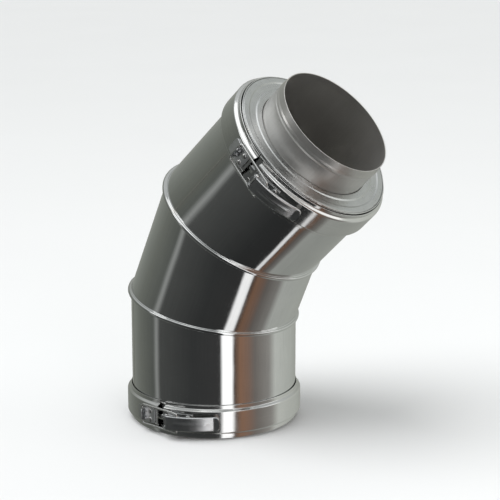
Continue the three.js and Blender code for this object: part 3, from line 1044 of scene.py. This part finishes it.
    def lever():
        """A pressed strip with a cheek at each side, where the pin and the bail go through."""
        points = lever_line()
        parts = [swept_mesh(prefix + "_lever_back", lever_sections(points), flat)]
        pin_hole = circle_outline(*LEVER_PIVOT, PIN_RADIUS + 0.1 * MM)
        bail_hole = circle_outline(*BAIL_PIVOT, WIRE_RADIUS + 0.15 * MM)
        outline = arc_points(LEVER_PIVOT, CHEEK_RADIUS, -90, -240, 16)
        outline += [(point.x, point.y) for point in points[:11]]
        outline += arc_points(BAIL_PIVOT, CHEEK_RADIUS, 0, -90, 10)
        thickness = PLATE - 0.1 * MM
        for side in (-1, 1):
            place = upright(side * (CHEEK_INNER + PLATE / 2))
            holes = [pin_hole, bail_hole]
            parts.append(plate_mesh(prefix + "_lever_cheek", outline, thickness, place, holes))
        name = prefix + "_latch_lever"
        mesh = join_meshes(name, parts)
        finish_piece(mesh, name + "_pressing", prefix + "_lever", "latch_steel", [name])

    def bail():
        """The wire loop, bent to round corners, with both ends turned in through the lever."""
        bend_steps = 8
        tip = CHEEK_INNER - 0.2 * MM
        stops = [
            (*BAIL_PIVOT, tip),
            (*BAIL_PIVOT, BAIL_HALF_WIDTH),
            (*BAIL_HOOK, BAIL_HALF_WIDTH),
            (*BAIL_HOOK, -BAIL_HALF_WIDTH),
            (*BAIL_PIVOT, -BAIL_HALF_WIDTH),
            (*BAIL_PIVOT, -tip),
        ]
        corners = [Vector(stop) for stop in stops]
        path = [corners[0]]
        for before, corner, after in zip(corners, corners[1:], corners[2:]):
            enter = corner + (before - corner).normalized() * BAIL_BEND
            leave = corner + (after - corner).normalized() * BAIL_BEND
            for i in range(bend_steps + 1):
                t = i / bend_steps
                path.append(enter * (1 - t) ** 2 + corner * 2 * t * (1 - t) + leave * t**2)
        path.append(corners[-1])
        name = prefix + "_latch_bail"
        mesh = wire_mesh(name, path, flat)
        finish_piece(mesh, name + "_wire", prefix + "_bail", "wire_steel", [name])

    strap()
    base()
    keeper()
    lever()
    pin()
    bail()
    for number, z in ((1, -RIVET_OFFSET), (2, RIVET_OFFSET)):
        rivet(f"{prefix}_base_rivet_{number}", BASE_RIVET_X, z)
        rivet(f"{prefix}_keeper_rivet_{number}", KEEPER_RIVET_X, z)


# ---------------------------------------------------------------- stage


def build_floor():
    mesh = bpy.data.meshes.new("floor")
    reach = 15
    corners = [(-reach, -reach, 0), (reach, -reach, 0), (reach, reach, 0), (-reach, reach, 0)]
    mesh.from_pydata(corners, [], [(0, 1, 2, 3)])
    floor = bpy.data.objects.new("floor", mesh)
    bpy.context.scene.collection.objects.link(floor)
    material = bpy.data.materials.new("floor_paint")
    nodes = Nodes(material)
    place = nodes.add("ShaderNodeTexCoord").outputs["Object"]
    speckle = nodes.noise(place, 3.0, detail=2.0)
    nodes.into("Base Color", nodes.mix(speckle, (0.78, 0.785, 0.79), (0.8, 0.805, 0.81)))
    nodes.shader.inputs["Roughness"].default_value = 0.9
    mesh.materials.append(material)
    floor.visible_glossy = False


def area_light(name, place, aim, size, power):
    data = bpy.data.lights.new(name, "AREA")
    data.shape = "RECTANGLE"
    data.size, data.size_y = size
    data.energy = power
    light = bpy.data.objects.new(name, data)
    light.location = place
    toward = Vector(aim) - Vector(place)
    light.rotation_mode = "QUATERNION"
    light.rotation_quaternion = toward.to_track_quat("-Z", "Y")
    bpy.context.scene.collection.objects.link(light)


def soft_sun(strength):
    """Even light over the whole floor, which the steel doesn't mirror."""
    data = bpy.data.lights.new("soft_sun", "SUN")
    data.energy = strength
    data.angle = math.radians(50)
    light = bpy.data.objects.new("soft_sun", data)
    light.rotation_euler = (math.radians(24), math.radians(-20), 0)
    light.visible_glossy = False
    bpy.context.scene.collection.objects.link(light)


# What the steel mirrors round the horizon, as (degrees to the right of the camera's side, colour)
SURROUNDINGS = [
    (-180, (0.32, 0.33, 0.3)),
    (-150, (0.25, 0.265, 0.24)),
    (-120, (0.17, 0.18, 0.16)),
    (-92, (0.11, 0.118, 0.108)),
    (-86, (0.34, 0.35, 0.34)),
    (-80, (0.08, 0.083, 0.08)),
    (-30, (0.045, 0.047, 0.047)),
    (10, (0.05, 0.05, 0.05)),
    (13, (1.6, 1.6, 1.6)),
    (26, (1.6, 1.6, 1.6)),
    (29, (0.09, 0.07, 0.06)),
    (38, (0.3, 0.17, 0.11)),
    (50, (0.26, 0.17, 0.13)),
    (60, (0.2, 0.18, 0.165)),
    (84, (0.32, 0.31, 0.29)),
    (96, (0.62, 0.64, 0.6)),
    (138, (0.5, 0.52, 0.48)),
    (180, (0.32, 0.33, 0.3)),
]
BRIGHTEST = max(max(colour) for degrees, colour in SURROUNDINGS)

# What the steel mirrors from overhead
OVERHEAD = (0.58, 0.6, 0.6)

# How much of the surroundings' colour is left, by height from straight down, 0, to straight up, 1
BY_HEIGHT = [(0.0, 0.55), (0.25, 0.85), (0.42, 1.0), (1.0, 1.0)]


def build_world():
    """Soft surroundings for the steel to mirror, and a plain pale backdrop behind the object.
    A colour ramp holds nothing over 1, so the colours in it are shares of the brightest."""

    def dimmed(colour):
        return tuple(part / BRIGHTEST for part in colour)

    world = bpy.data.worlds.new("studio")
    bpy.context.scene.world = world
    nodes = Nodes(world)
    nodes.tree.nodes.clear()
    direction = nodes.add("ShaderNodeTexCoord").outputs["Generated"]
    camera_side = math.atan2(-math.cos(VIEW_AZIMUTH), math.sin(VIEW_AZIMUTH))
    turned = nodes.add("ShaderNodeVectorRotate", {"Vector": direction, "Angle": -camera_side})
    parts = nodes.add("ShaderNodeSeparateXYZ", {"Vector": turned.outputs["Vector"]})
    x, y, z = parts.outputs
    compass = nodes.add("ShaderNodeMath", {0: y, 1: x}, operation="ARCTAN2").outputs[0]
    around = nodes.spread(compass, 0.0, 1.0, -math.pi, math.pi)
    stops = [((degrees + 180) / 360, dimmed(colour)) for degrees, colour in SURROUNDINGS]
    horizon = nodes.ramp(around, stops)
    stops = [(place, (value, value, value)) for place, value in BY_HEIGHT]
    shade = nodes.ramp(nodes.spread(z, 0.0, 1.0, -1, 1), stops)
    shaded = nodes.mix(1, horizon, shade, blend_type="MULTIPLY")
    sky = nodes.mix(nodes.spread(z, 0.0, 1.0, 0.35, 0.8), shaded, dimmed(OVERHEAD))
    mirrored = nodes.add("ShaderNodeBackground", {"Color": sky, "Strength": BRIGHTEST})
    pale = {"Color": (0.82, 0.83, 0.84, 1), "Strength": 1.0}
    backdrop = nodes.add("ShaderNodeBackground", pale)
    seen = nodes.add("ShaderNodeLightPath").outputs["Is Camera Ray"]
    either = {0: seen, 1: mirrored.outputs[0], 2: backdrop.outputs[0]}
    mixed = nodes.add("ShaderNodeMixShader", either)
    nodes.add("ShaderNodeOutputWorld", {"Surface": mixed.outputs[0]})


def build_camera():
    """The camera, far enough back for a ball round the whole object to fit its view."""
    data = bpy.data.cameras.new("camera")
    data.lens = LENS
    data.sensor_width = SENSOR_WIDTH
    data.clip_start, data.clip_end = 0.05, 60
    camera = bpy.data.objects.new("camera", data)
    bpy.context.scene.collection.objects.link(camera)
    bpy.context.scene.camera = camera
    level = math.cos(VIEW_ELEVATION)
    x = math.sin(VIEW_AZIMUTH) * level
    y = -math.cos(VIEW_AZIMUTH) * level
    back = Vector((x, y, math.sin(VIEW_ELEVATION)))
    centre = (cad_low + cad_high) / 2
    radius = (cad_high - cad_low).length / 2
    distance = radius / math.sin(math.atan(SENSOR_WIDTH / 2 / LENS))
    camera.location = centre + back * distance
    camera.rotation_mode = "QUATERNION"
    camera.rotation_quaternion = (-back).to_track_quat("-Z", "Y")


build_casings()
build_liners()
end_ring_piece("lower_end_ring", SOCKET_OUTER + GAP, lower_leg, 0.0, 1)
end_ring_piece("upper_end_ring", LINER + GAP, upper_leg, LEG_LENGTH, -1)
build_band("lower", lower_leg, BAND_CENTRE)
build_band("upper", upper_leg, LEG_LENGTH - BAND_CENTRE)

build_floor()
build_world()
build_camera()
soft_sun(strength=2.1)
area_light("overhead", place=(0.1, 0.1, 2.2), aim=(0, 0, 0.15), size=(1.6, 1.6), power=7)
area_light("key", place=(-1.3, -1.6, 1.5), aim=(0, 0, 0.18), size=(0.9, 0.9), power=4)
area_light("fill", place=(1.8, 1.2, 1.4), aim=(0, 0, 0.18), size=(1.2, 1.0), power=3)
area_light("mouth", place=(1.15, -0.5, 1.25), aim=(0.1, 0, 0.33), size=(0.5, 0.5), power=1.2)
bpy.context.scene.view_settings.view_transform = "Standard"
